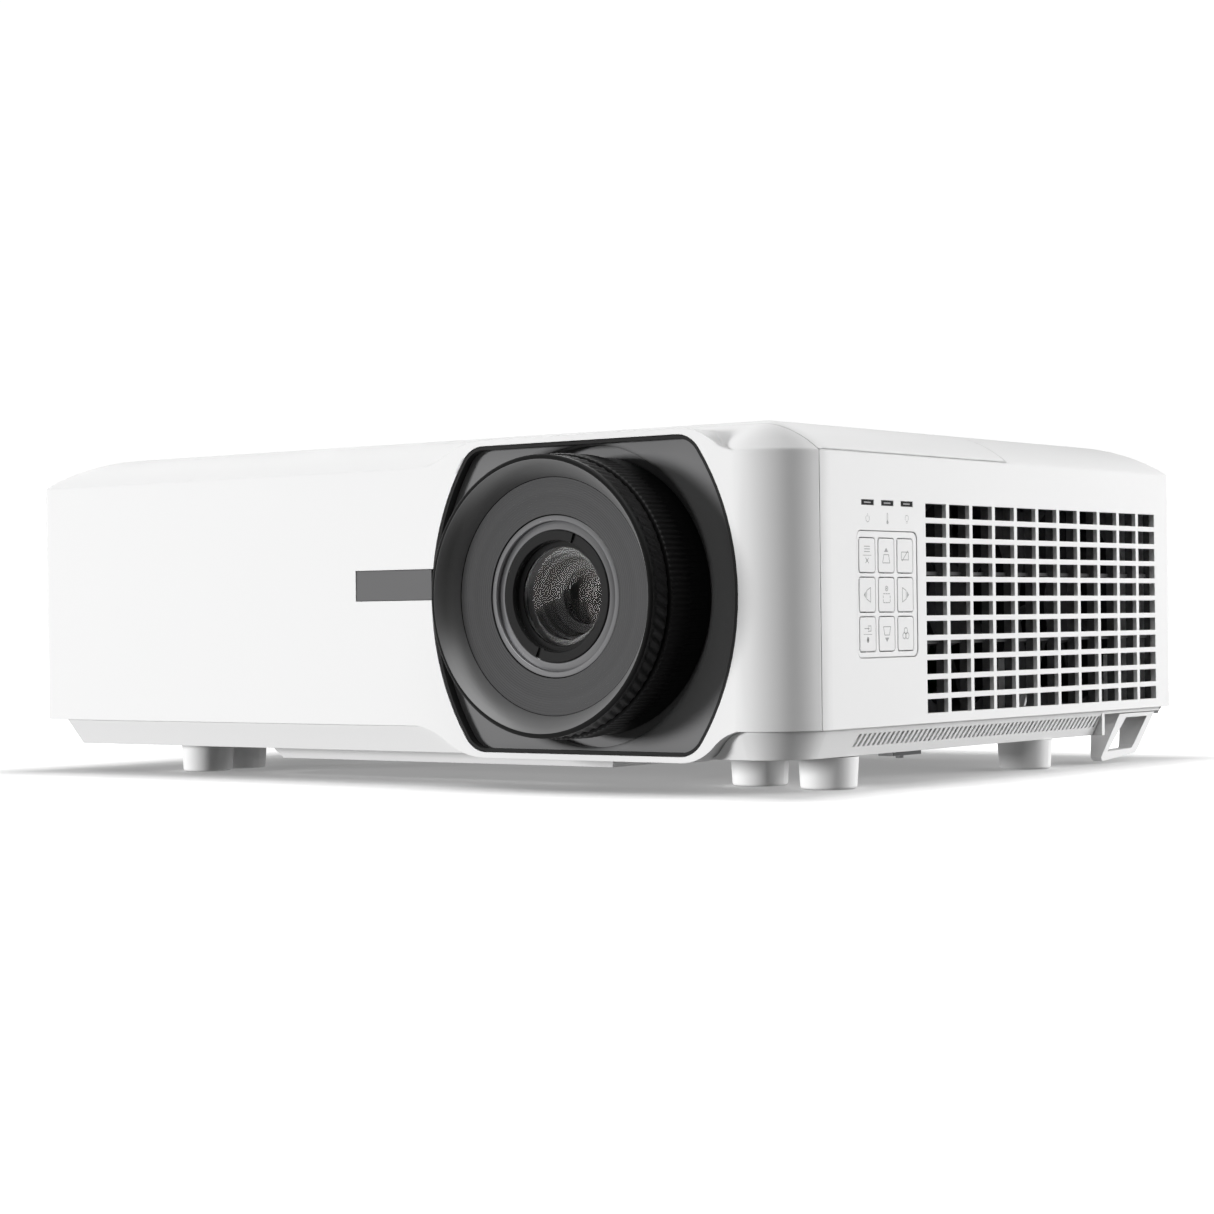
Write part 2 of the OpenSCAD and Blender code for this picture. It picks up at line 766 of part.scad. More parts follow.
module lens_frame() color(black) {
    difference() {
        union() {
            span([44, -112, tray_z + tray_floor], [163, -108, 131]);
            for (x = guide_x, z = [tray_z + tray_floor, 127])
                span([x - 4, -108, z], [x + 4, -100, z + 4]);
            span([29, -112, 107], [44, -98, 113]);
            for (x = guide_x) translate([x, screw_v_y, tray_z + tray_floor + 1]) cylinder(r = 1.5, h = 113);
        }
        rod_y(lens_x, lens_z, 47, -113, -107);
        translate([screw_v_x, screw_v_y, 100]) cylinder(r = screw_r + fit, h = 20);
    }
}

module shift_plate_v() color(black) {
    difference() {
        union() {
            span([48, -107, 24], [158.6, -101, 123]);
            span([29, -110, 84], [43, -98, 96]);
            span([43, -107, 84], [48, -101, 96]);
            span([69, -107, 122], [74, -74, 130]);
        }
        rod_y(lens_x, lens_z, 43.6, -108, -100);
        for (x = guide_x) translate([x, screw_v_y, 20]) cylinder(r = 1.5 + fit, h = 110);
        translate([screw_v_x, screw_v_y, 80]) cylinder(r = screw_r + fit, h = 20);
        rod_x(screw_h_y, screw_h_z, screw_r + fit, 68, 75);
    }
}

module shift_plate_h() color(black) {
    difference() {
        union() {
            span([51, -100.4, 30], [155.6, -96, 119]);
            span([78, -100.4, 118], [88, -74, 130]);
        }
        rod_y(lens_x, lens_z, 40 + fit, -101, -95);
        rod_x(screw_h_y, screw_h_z, screw_r + fit, 77, 89);
    }
}

// Fluted thumbwheel of a shift screw, on +Z
module shift_knob(r, h) {
    difference() {
        cylinder(r = r, h = h);
        for (i = [0 : 17])
            rotate([0, 0, i * 20]) translate([r + 0.4, 0, -1]) cylinder(r = 1, h = h + 2);
    }
}

module shift_dial_v() color(black)
    translate([screw_v_x, screw_v_y, 0]) {
        translate([0, 0, 122]) shift_knob(8.8, 9);
        translate([0, 0, 64]) cylinder(r = screw_r, h = 58.5);
    }

module shift_dial_h() color(black)
    translate([60, screw_h_y, screw_h_z]) rotate([0, 90, 0]) {
        shift_knob(7.6, 7.5);
        cylinder(r = screw_r, h = 33);
    }

// ---------- light engine ----------

wheel_at = [-16, 24, 74];
fan_size = 92;
fan_x = 163;
fan_t = 25;
fan_front_at = [fan_x, 1, 70];
fan_rear_at = [fan_x, 98, 70];
fan_intake_at = [-190, 5, 70];

module optical_block() color(metal) {
    difference() {
        union() {
            span([66, -14, 42], [144, 46, 108]);
            span([-8, 8, 56], [66, 40, 92]);
            for (p = [[70, -8], [136, -8], [70, 38], [136, 38]])
                translate([p.x, p.y, tray_z + tray_floor]) cylinder(r = 4, h = 28);
        }
        rod_y(lens_x, lens_z, 27, -15, 44);
        span([-12, 12, 60], [80, 36, 88]);
        span([88, 40, 60], [120, 50, 90]);
    }
}

module dmd_board() color(pcb) {
    span([70, 48, 44], [140, 49.6, 106]);
    span([92, 46.2, 64], [116, 48, 86]);
    difference() {
        span([86, 49.6, 54], [124, 66, 96]);
        for (i = [0 : 8]) span([88 + i * 4, 53, 50], [90 + i * 4, 70, 100]);
    }
}

module phosphor_wheel() color([0.85, 0.8, 0.3]) {
    rod_x(wheel_at.y, wheel_at.z, 31, wheel_at.x - 0.6, wheel_at.x + 0.6);
    rod_x(wheel_at.y, wheel_at.z, 9, wheel_at.x - 2.6, wheel_at.x + 2.2);
    rod_x(wheel_at.y, wheel_at.z, 1.5, wheel_at.x - 10, wheel_at.x);
}

module wheel_motor() color(grey) {
    difference() {
        union() {
            rod_x(wheel_at.y, wheel_at.z, 14, wheel_at.x - 22, wheel_at.x - 3.2);
            span([wheel_at.x - 22, wheel_at.y - 16, tray_z + tray_floor], [wheel_at.x - 16, wheel_at.y + 16, 74]);
        }
        rod_x(wheel_at.y, wheel_at.z, 1.5 + fit, wheel_at.x - 11, wheel_at.x);
    }
}

module laser_bank() color(metal) {
    difference() {
        span([-92, -20, 40], [-44, 52, 104]);
        for (i = [0 : 3], j = [0 : 2])
            rod_x(-8 + i * 16, 54 + j * 18, 5, -50, -43);
    }
    for (i = [0 : 3], j = [0 : 2])
        rod_x(-8 + i * 16, 54 + j * 18, 3.5, -50, -45);
    span([-88, -16, tray_z + tray_floor], [-82, 48, 40]);
}

module heatsink() color(metal) {
    span([-99, -36, 32], [-92, 62, 112]);
    for (i = [0 : 15])
        span([-152, -35 + i * 6.3, 32], [-99, -33.6 + i * 6.3, 112]);
    for (z = [48, 72, 96]) rod_y(-126, z, 3, -36, 62);
}

// Square fan frame along X, at its low X face
module fan_frame(at) {
    difference() {
        translate([at.x, at.y - fan_size / 2, at.z - fan_size / 2]) cube([fan_t, fan_size, fan_size]);
        rod_x(at.y, at.z, fan_size / 2 - 2.5, at.x - 1, at.x + fan_t + 1);
        for (sy = [-1, 1], sz = [-1, 1])
            rod_x(at.y + sy * 41, at.z + sz * 41, 2.1, at.x - 1, at.x + fan_t + 1);
    }
    rod_x(at.y, at.z, 17, at.x + 1, at.x + 4);
    for (a = [45, 165, 285])
        translate([at.x + 2.5, at.y, at.z])
            rotate([a, 0, 0]) span([-1.3, -2, 15], [1.3, 2, fan_size / 2 - 1]);
    rod_x(at.y, at.z, 2, at.x + 3.9, at.x + 16);
}

// Seven-blade rotor turning on the frame's spindle
module fan_rotor(at) {
    difference() {
        union() {
            rod_x(at.y, at.z, 17, at.x + 5, at.x + 22);
            for (i = [0 : 6])
                translate([at.x + 13.5, at.y, at.z]) rotate([i * 360 / 7, 0, 0])
                    rotate([0, 0, 40]) span([-9, -0.8, 15], [9, 0.8, fan_size / 2 - 4.2]);
        }
        rod_x(at.y, at.z, 2 + fit, at.x, at.x + 17);
    }
}

module fan_frames() color(grey) {
    fan_frame(fan_front_at);
    fan_frame(fan_rear_at);
    fan_frame(fan_intake_at);
}

module fan_rotor_front() color(black) fan_rotor(fan_front_at);
module fan_rotor_rear() color(black) fan_rotor(fan_rear_at);
module fan_rotor_intake() color(black) fan_rotor(fan_intake_at);

// ---------- electronics and rear panel ----------

module power_board() color(pcb) {
    z0 = 27;
    z1 = z0 + 1.5;
    span([-168, 66, z0], [40, 138, z0 + 1.6]);
    for (x = [-150, 30], y = [80, 124])
        translate([x, y, tray_z + tray_floor]) cylinder(r = 3, h = z1 - tray_z - tray_floor);
    for (i = [0 : 3]) translate([-140 + i * 24, 126, z1]) cylinder(r = 9, h = 32);
    span([-150, 74, z1], [-104, 108, 60]);
    span([-92, 74, z1], [-58, 104, 54]);
    for (i = [0 : 5]) span([-40 + i * 12, 76, z1], [-36 + i * 12, 112, 56]);
}

module main_board() color(pcb) {
    difference() {
        span([-144, 145.8, 27], [130, 147.4, 112]);
        for (x = [-138, 124], z = [32, 107]) rod_y(x, z, 1.6, 145, 148);
    }
    span([-60, 143, 80], [-24, 145.9, 104]);
    span([20, 143.6, 84], [44, 145.9, 104]);
    for (i = [0 : 3]) span([60 + i * 14, 144.2, 88], [70 + i * 14, 145.9, 104]);
}

// Openings of the rear panel, as boxes in X and Z grown by g
module socket_holes(g) {
    for (x = [-134, -108]) translate([x - g, 40 - g]) square([16 + 2 * g, 7 + 2 * g]);
    for (x = [-78, -40]) translate([x - g, 38 - g]) square([31 + 2 * g, 12.4 + 2 * g]);
    translate([-134 - g, 62 - g]) square([16.2 + 2 * g, 13.6 + 2 * g]);
    translate([-104 - g, 64 - g]) square([14.6 + 2 * g, 7 + 2 * g]);
    translate([-78 - g, 64 - g]) square([31 + 2 * g, 12.4 + 2 * g]);
    for (x = [-24, -6, 12]) translate([x, 70]) circle(4 + g);
}

module io_panel() color(grey) {
    difference() {
        along_y(io_y, io_y + 2.2)
            translate([io_x0 + 0.3, io_z0 + 0.3]) square([io_x1 - io_x0 - 0.6, io_z1 - io_z0 - 0.6]);
        along_y(io_y - 1, rear_y) socket_holes(0.3);
        span([131.7, io_y - 1, 41.7], [159.3, rear_y, 62.3]);
        for (i = [0 : 17], z = [84, 92])
            span([-130 + i * 15, io_y - 1, z], [-119 + i * 15, rear_y, z + 4]);
    }
}

// A socket shell in X and Z with a cavity open to the rear
module socket(x, z, w, h, cav, depth) {
    difference() {
        span([x, socket_y0, z], [x + w, io_y + 2.6, z + h]);
        span([x + cav, io_y + 2.6 - depth, z + cav], [x + w - cav, rear_y, z + h - cav]);
    }
}

module video_sockets() color(metal) {
    for (x = [-134, -108]) {
        socket(x, 40, 16, 7, 0.9, 9);
        span([x + 2.5, io_y - 7, 42.9], [x + 13.5, io_y + 1, 44.1]);
    }
    for (x = [-78, -40]) d_socket(x, 38);
}

// D-shaped shell with a flange and two hexagonal posts
module d_socket(x, z) {
    span([x, socket_y0, z], [x + 31, io_y - 0.2, z + 12.4]);
    along_y(io_y - 0.2, io_y + 2.6)
        polygon([[x + 7.2, z + 10.4], [x + 23.8, z + 10.4], [x + 22.4, z + 2], [x + 8.6, z + 2]]);
    for (px = [x + 3, x + 28])
        translate([px, io_y + 2.6, z + 6.2]) rotate([90, 0, 0]) cylinder(r = 2.4, h = 3, $fn = 6);
}

module data_sockets() color(metal) {
    socket(-134, 62, 16.2, 13.6, 1.6, 12);
    socket(-104, 64, 14.6, 7, 0.9, 9);
    d_socket(-78, 64);
    for (x = [-24, -6, 12])
        difference() {
            rod_y(x, 70, 4, socket_y0, io_y + 2.6);
            rod_y(x, 70, 1.8, io_y - 9, rear_y);
        }
}

module ac_inlet() color(black) {
    difference() {
        span([132, io_y - 16, 42], [159, io_y + 2.4, 62]);
        span([134, io_y - 13, 44], [157, rear_y, 60]);
    }
    for (p = [[139.5, 49], [145.5, 54], [151.5, 49]])
        span([p.x - 1, io_y - 15, p.y - 2], [p.x + 1, io_y - 2, p.y + 2]);
}

bottom_tray();
base_panel();
top_cover();
access_lid();
front_cover();
io_panel();
inner_grille();
lens_plate();
ir_window();
led_windows();
keypad_bezel();
keypad_board();
key_menu();
key_up();
key_blank();
key_left();
key_enter();
key_right();
key_source();
key_down();
key_mode();
focus_ring();
zoom_ring();
lens_barrel();
front_trim();
silver_ring();
retainer_ring();
focus_cell();
front_glass();
zoom_cell();
middle_glass();
rear_glass();
lens_frame();
shift_plate_v();
shift_plate_h();
shift_dial_v();
shift_dial_h();
optical_block();
dmd_board();
phosphor_wheel();
wheel_motor();
laser_bank();
heatsink();
fan_frames();
fan_rotor_front();
fan_rotor_rear();
fan_rotor_intake();
power_board();
main_board();
ac_inlet();
video_sockets();
data_sockets();
foot_stud_right();
foot_cup_right();
foot_stud_left();
foot_cup_left();
fixed_feet();
security_bar();
mount_inserts();
base_screws();
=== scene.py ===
"""Large-room laser projector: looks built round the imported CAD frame. Metres, front -Y, keypad side +X."""
import json
import math

import bmesh
import bpy
from mathutils import Matrix, Vector


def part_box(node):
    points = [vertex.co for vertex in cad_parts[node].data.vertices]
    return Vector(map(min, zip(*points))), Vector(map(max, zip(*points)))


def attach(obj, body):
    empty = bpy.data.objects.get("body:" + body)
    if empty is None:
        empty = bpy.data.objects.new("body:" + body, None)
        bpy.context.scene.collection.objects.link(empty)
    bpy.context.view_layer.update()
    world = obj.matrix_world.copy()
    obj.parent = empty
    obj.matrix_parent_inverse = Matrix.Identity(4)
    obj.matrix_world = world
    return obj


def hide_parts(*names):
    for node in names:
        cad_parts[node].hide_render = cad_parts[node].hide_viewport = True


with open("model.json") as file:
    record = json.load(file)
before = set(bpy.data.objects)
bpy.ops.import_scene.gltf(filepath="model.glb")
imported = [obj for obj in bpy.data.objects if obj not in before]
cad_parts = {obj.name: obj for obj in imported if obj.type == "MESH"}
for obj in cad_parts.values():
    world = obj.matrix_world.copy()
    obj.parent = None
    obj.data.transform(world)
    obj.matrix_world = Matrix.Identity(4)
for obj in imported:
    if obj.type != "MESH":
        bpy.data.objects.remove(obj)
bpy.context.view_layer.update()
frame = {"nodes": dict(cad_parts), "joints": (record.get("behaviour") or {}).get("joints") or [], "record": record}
NODES = frame["nodes"]
MM = 0.001

# World light, as the strength of each part. Directions point away from the object.
BACKDROP = 1.02
ROOM_LIGHT = 0.16
GROUND_LIGHT = 0.3
DARK_SIDE = (0.9, -0.42, 0)
DARK_LEVEL = 0.06
PANEL_LIGHT = 1.0
PANEL_AT = (0.25, -0.2, 0.93)
FRONT_CARD = 0.12
FRONT_CARD_AT = (-0.75, -0.62, 0.12)
GLOSS_CARD = 1.6
GLOSS_CARD_AT = (-0.6, 0.54, 0.57)

# The floor's own glow, and the lightening of its painted shadow, ease in between these distances from the object's
# footprint, in metres
GLOW_FROM = -0.03
GLOW_TO = 0.09

# Edge radii of the white shell, and where the large one holds: along the crease under the crown, away from
# the seam, and on the upright corners above the tray
SMALL_EDGE = 0.3 * MM
LARGE_EDGE = 2 * MM
CREASE_Z = (124.5 * MM, 130.5 * MM)
SEAM_CLEAR = 2.5 * MM
CORNER_BAND = 4 * MM
CORNER_FOOT = 30 * MM

# Depth from the front face over which the lens plate's lip is painted near-black, as painted shade
SHADED_LIP_DEPTH = 3.9 * MM


def joint_point(name):
    return Vector(next(j["pos_m"] for j in frame["joints"] if j["name"] == name))


LENS = joint_point("focus_turn")
SIDE_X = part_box("top_cover")[1].x
FRONT_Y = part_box("front_cover")[0].y
REAR_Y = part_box("top_cover")[1].y
SEAM_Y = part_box("top_cover")[0].y
MIDDLE_Y = (FRONT_Y + REAR_Y) / 2
HALF_DEPTH = (REAR_Y - FRONT_Y) / 2


def link(obj):
    bpy.context.scene.collection.objects.link(obj)
    return obj


# ---------- camera, lights, floor ----------

def add_camera():
    """Long lens, low at the front right, turned left by yaw, tipped up by pitch and rolled a little."""
    place = Vector((0.7611, -0.9783, 0.0657))
    yaw, pitch, roll = (math.radians(angle) for angle in (37.53, 0.25, -0.69))
    flat = math.cos(pitch)
    forward = Vector((-math.sin(yaw) * flat, math.cos(yaw) * flat, math.sin(pitch)))
    level_right = Vector((math.cos(yaw), math.sin(yaw), 0))
    level_up = level_right.cross(forward)
    right = math.cos(roll) * level_right + math.sin(roll) * level_up
    up = math.cos(roll) * level_up - math.sin(roll) * level_right
    data = bpy.data.cameras.new("camera")
    data.sensor_width = 36
    data.lens = 81.87
    camera = bpy.data.objects.new("camera", data)
    turn = Matrix((right, up, -forward)).transposed().to_4x4()
    camera.matrix_world = Matrix.Translation(place) @ turn
    bpy.context.scene.camera = link(camera)


def add_softbox(name, aim, azimuth, height, distance, width, tall, watts):
    """Area light round the object. Azimuth is in degrees from the front (-Y) to the keypad side (+X)."""
    turn = math.radians(azimuth)
    place = Vector(aim) + Vector((math.sin(turn) * distance, -math.cos(turn) * distance, height))
    data = bpy.data.lights.new(name, "AREA")
    data.shape = "RECTANGLE"
    data.size, data.size_y = width, tall
    data.energy = watts
    light = bpy.data.objects.new(name, data)
    light.location = place
    light.rotation_euler = (Vector(aim) - place).to_track_quat("-Z", "Y").to_euler()
    light.visible_glossy = False
    link(light)


def smooth_range(nodes, low, high, to_low, to_high):
    """Node that eases from to_low at low to to_high at high."""
    node = nodes.new("ShaderNodeMapRange")
    node.interpolation_type = "SMOOTHSTEP"
    for socket, number in (("From Min", low), ("From Max", high), ("To Min", to_low), ("To Max", to_high)):
        node.inputs[socket].default_value = number
    return node


def add_world():
    """White to the camera. As light: a dim room that is darker to the front right, a pale ground, a ceiling
    panel, a card at the front left, and a card at the rear left that only reflections see."""
    world = bpy.data.worlds.new("studio")
    world.use_nodes = True
    nodes, links = world.node_tree.nodes, world.node_tree.links
    background = nodes["Background"]
    direction = nodes.new("ShaderNodeTexCoord").outputs["Generated"]

    def toward(aim, low, high, to_low, to_high):
        """Level that eases from to_low to to_high. low and high are cosines of the angle to a direction."""
        cosine = nodes.new("ShaderNodeVectorMath")
        cosine.operation = "DOT_PRODUCT"
        cosine.inputs[1].default_value = Vector(aim).normalized()
        links.new(direction, cosine.inputs[0])
        level = smooth_range(nodes, low, high, to_low, to_high)
        links.new(cosine.outputs["Value"], level.inputs["Value"])
        return level.outputs["Result"]

    def join(one, other, operation="ADD"):
        node = nodes.new("ShaderNodeMath")
        node.operation = operation
        links.new(one, node.inputs[0])
        links.new(other, node.inputs[1])
        return node.outputs[0]

    path = nodes.new("ShaderNodeLightPath")
    room = toward((0, 0, 1), -0.12, 0.06, GROUND_LIGHT, ROOM_LIGHT)
    room = join(room, toward(DARK_SIDE, 0.1, 0.75, 1, DARK_LEVEL), "MULTIPLY")
    gloss = toward(GLOSS_CARD_AT, 0.86, 0.97, 0, GLOSS_CARD)
    room = join(room, join(gloss, path.outputs["Is Glossy Ray"], "MULTIPLY"))
    room = join(room, toward(PANEL_AT, 0.66, 0.9, 0, PANEL_LIGHT))
    room = join(room, toward(FRONT_CARD_AT, 0.8, 0.97, 0, FRONT_CARD))
    mix = nodes.new("ShaderNodeMix")
    links.new(path.outputs["Is Camera Ray"], mix.inputs["Factor"])
    links.new(room, mix.inputs["A"])
    mix.inputs["B"].default_value = BACKDROP
    background.inputs["Color"].default_value = (1, 1, 1, 1)
    links.new(mix.outputs["Result"], background.inputs["Strength"])
    bpy.context.scene.world = world


def add_floor():
    """Pale floor, painted darker near the object as a painted shadow and glowing brighter away from it, so that it
    runs into the background without a horizon.
    """
    mesh = bpy.data.meshes.new("floor")
    half = 12
    drop = -0.2 * MM
    corners = [(x * half, y * half, drop) for x, y in ((-1, -1), (1, -1), (1, 1), (-1, 1))]
    mesh.from_pydata(corners, [], [(0, 1, 2, 3)])
    floor = link(bpy.data.objects.new("floor", mesh))
    floor.data.materials.append(floor_paint())
    floor.visible_diffuse = floor.visible_glossy = False


# ---------- materials ----------

class Surface:
    """A node material round one principled shader, with short calls for its other nodes."""

    def __init__(self, name, color, roughness, metallic=0.0, **sockets):
        self.material = bpy.data.materials.new(name)
        self.material.use_nodes = True
        self.nodes = self.material.node_tree.nodes
        self.links = self.material.node_tree.links
        self.shader = self.nodes["Principled BSDF"]
        self.set("Base Color", (*color, 1))
        self.set("Roughness", roughness)
        self.set("Metallic", metallic)
        for socket, value in sockets.items():
            self.set(socket.replace("_", " "), value)
        self.normal = None
        self.place = self.nodes.new("ShaderNodeTexCoord").outputs["Object"]

    def set(self, socket, value):
        self.shader.inputs[socket].default_value = value

    def noise(self, size, detail=2.0, vector=None):
        node = self.nodes.new("ShaderNodeTexNoise")
        node.inputs["Scale"].default_value = 1 / size
        node.inputs["Detail"].default_value = detail
        self.links.new(vector or self.place, node.inputs["Vector"])
        return node.outputs["Fac"]

    def math(self, operation, a, b=0.0):
        node = self.nodes.new("ShaderNodeMath")
        node.operation = operation
        for socket, value in zip(node.inputs, (a, b)):
            if isinstance(value, bpy.types.NodeSocket):
                self.links.new(value, socket)
            else:
                socket.default_value = value
        return node.outputs[0]

    def axes(self):
        """X, Y and Z of the point that is shaded, in metres."""
        split = self.nodes.new("ShaderNodeSeparateXYZ")
        self.links.new(self.place, split.inputs[0])
        return [split.outputs[axis] for axis in "XYZ"]

    def all_of(self, *conditions):
        """1 where every condition is 1, or else 0."""
        result = conditions[0]
        for condition in conditions[1:]:
            result = self.math("MULTIPLY", result, condition)
        return result

    def further(self, value, middle, distance):
        """1 where the value is more than the distance from the middle, or else 0."""
        away = self.math("ABSOLUTE", self.math("SUBTRACT", value, middle))
        return self.math("GREATER_THAN", away, distance)

    def rings(self, centre, pitch):
        """A wave round a line along Y, and a vector that changes only with the distance from that line."""
        x, _, z = self.axes()
        x = self.math("SUBTRACT", x, centre.x)
        z = self.math("SUBTRACT", z, centre.z)
        square = self.math("ADD", self.math("MULTIPLY", x, x), self.math("MULTIPLY", z, z))
        radius = self.math("SQRT", square)
        wave = self.math("SINE", self.math("MULTIPLY", radius, math.tau / pitch))
        vector = self.nodes.new("ShaderNodeCombineXYZ")
        self.links.new(radius, vector.inputs["X"])
        return wave, vector.outputs[0]

    def between(self, factor, low, high):
        node = self.nodes.new("ShaderNodeMapRange")
        node.inputs["To Min"].default_value = low
        node.inputs["To Max"].default_value = high
        self.links.new(factor, node.inputs["Value"])
        return node.outputs["Result"]

    def mix(self, factor, low, high):
        """Colour from low to high. Each is a colour or another node's output."""
        node = self.nodes.new("ShaderNodeMix")
        node.data_type = "RGBA"
        self.links.new(factor, node.inputs["Factor"])
        for socket, color in (("A", low), ("B", high)):
            if isinstance(color, bpy.types.NodeSocket):
                self.links.new(color, node.inputs[socket])
            else:
                node.inputs[socket].default_value = (*color, 1)
        return node.outputs["Result"]

    def drive(self, socket, output):
        self.links.new(output, self.shader.inputs[socket])

    def face(self, normal):
        """Makes this the normal that the shader sees and that the next bump starts from."""
        self.normal = normal
        self.drive("Normal", normal)

    def round_edges(self, radius):
        """Softens the light on edges as a small radius does."""
        node = self.nodes.new("ShaderNodeBevel")
        node.samples = 4
        if isinstance(radius, bpy.types.NodeSocket):
            self.links.new(radius, node.inputs["Radius"])
        else:
            node.inputs["Radius"].default_value = radius
        self.face(node.outputs["Normal"])

    def bump(self, height, depth):
        node = self.nodes.new("ShaderNodeBump")
        node.inputs["Distance"].default_value = depth
        node.inputs["Strength"].default_value = 1.0
        self.links.new(height, node.inputs["Height"])
        if self.normal:
            self.links.new(self.normal, node.inputs["Normal"])
        self.face(node.outputs["Normal"])


def toned(color, factor):
    """The colour made darker or lighter, up to white."""
    return [min(1, channel * factor) for channel in color]


def moulded(name, color, roughness, grain, depth, spread=0.06, edge=0.2 * MM):
    """Moulded plastic: fine spark-eroded grain, a slight change of tone and of gloss, softened edges. Gives
    the surface and its colour."""
    s = Surface(name, color, roughness)
    s.round_edges(edge(s) if callable(edge) else edge)
    tone = s.mix(s.noise(60 * MM, 3), toned(color, 1 - spread), toned(color, 1 + spread / 2))
    s.drive("Base Color", tone)
    s.drive("Roughness", s.between(s.noise(25 * MM, 2), roughness - 0.05, roughness + 0.05))
    s.bump(s.noise(grain, 3), depth)
    return s, tone


def plastic(*settings):
    return moulded(*settings)[0].material


def shell_edge(s):
    """Edge radius of the shell: large along the crown's crease and on the upright corners, or else small."""
    x, y, z = s.axes()
    above = s.math("GREATER_THAN", z, CREASE_Z[0])
    below = s.math("LESS_THAN", z, CREASE_Z[1])
    crease = s.all_of(above, below, s.further(y, SEAM_Y, SEAM_CLEAR))
    end = s.further(y, MIDDLE_Y, HALF_DEPTH - CORNER_BAND)
    side = s.further(x, 0, SIDE_X - CORNER_BAND)
    upright = s.all_of(end, side, s.math("GREATER_THAN", z, CORNER_FOOT))
    large = s.math("MAXIMUM", crease, upright)
    return s.math("ADD", s.math("MULTIPLY", large, LARGE_EDGE - SMALL_EDGE), SMALL_EDGE)


def plate_paint():
    """Grained plate, with painted shade that makes its lip in front of its face near-black."""
    s, tone = moulded("plate_black", (0.19, 0.19, 0.192), 0.55, 0.55 * MM, 0.03 * MM)
    # painted shade: the plate within this depth of the front face gets a near-black colour instead of its grain
    # tone
    lip = s.math("LESS_THAN", s.axes()[1], FRONT_Y + SHADED_LIP_DEPTH)
    s.drive("Base Color", s.mix(lip, tone, (0.025, 0.025, 0.025)))
    return s.material


def metal(name, color, roughness):
    """Bare metal with a fine grain and patches of different gloss."""
    s = Surface(name, color, roughness, metallic=1.0)
    s.round_edges(0.15 * MM)
    s.drive("Roughness", s.between(s.noise(8 * MM, 3), roughness - 0.05, roughness + 0.08))
    s.bump(s.noise(0.5 * MM, 2), 0.005 * MM)
    return s.material


def turned(name, color, roughness, pitch, depth, metallic):
    """Lathe-turned face: fine grooves round the lens axis, a little uneven."""
    s = Surface(name, color, roughness, metallic=metallic)
    wave, along = s.rings(LENS, pitch)
    uneven = s.noise(pitch * 1.7, 3, along)
    s.bump(s.math("ADD", wave, s.math("MULTIPLY", uneven, 2.0)), depth)
    s.drive("Base Color", s.mix(s.noise(pitch * 4, 2, along), toned(color, 0.85), toned(color, 1.12)))
    s.drive("Roughness", s.between(uneven, roughness - 0.06, roughness + 0.06))
    return s.material


def glass(name, color):
    """Coated lens glass. Its low index keeps the reflections as weak as a coating does."""
    s = Surface(name, color, 0.0, Transmission_Weight=1.0, IOR=1.16)
    s.drive("Base Color", s.mix(s.noise(40 * MM, 1), color, toned(color, 1.02)))
    return s.material


def floor_paint():
    """Pale paint whose own light grows with the distance from the object's footprint, and whose colour is darker
    near the footprint as a painted shadow.
    """
    s = Surface("floor", (0.9, 0.9, 0.9), 0.8, Emission_Color=(1, 1, 1, 1))
    middle = Vector((0, MIDDLE_Y, 0))
    half = Vector((SIDE_X, HALF_DEPTH, 1))
    away = s.place
    for operation, other in (("SUBTRACT", middle), ("ABSOLUTE", None), ("SUBTRACT", half),
                             ("MAXIMUM", Vector((0, 0, 0))), ("LENGTH", None)):
        step = s.nodes.new("ShaderNodeVectorMath")
        step.operation = operation
        s.links.new(away, step.inputs[0])
        if other is not None:
            step.inputs[1].default_value = other
        away = step.outputs["Value" if operation == "LENGTH" else "Vector"]
    glow = smooth_range(s.nodes, GLOW_FROM, GLOW_TO, 0, 1)
    s.links.new(away, glow.inputs["Value"])
    s.drive("Emission Strength", glow.outputs["Result"])
    grain = s.math("MULTIPLY", s.noise(0.5, 1), 0.02)
    # painted shadow: the colour goes from 0.6 near the footprint to 0.9 away from it, with a little random grain
    s.drive("Base Color", s.mix(s.math("ADD", glow.outputs["Result"], grain), (0.6,) * 3, (0.9,) * 3))
    return s.material


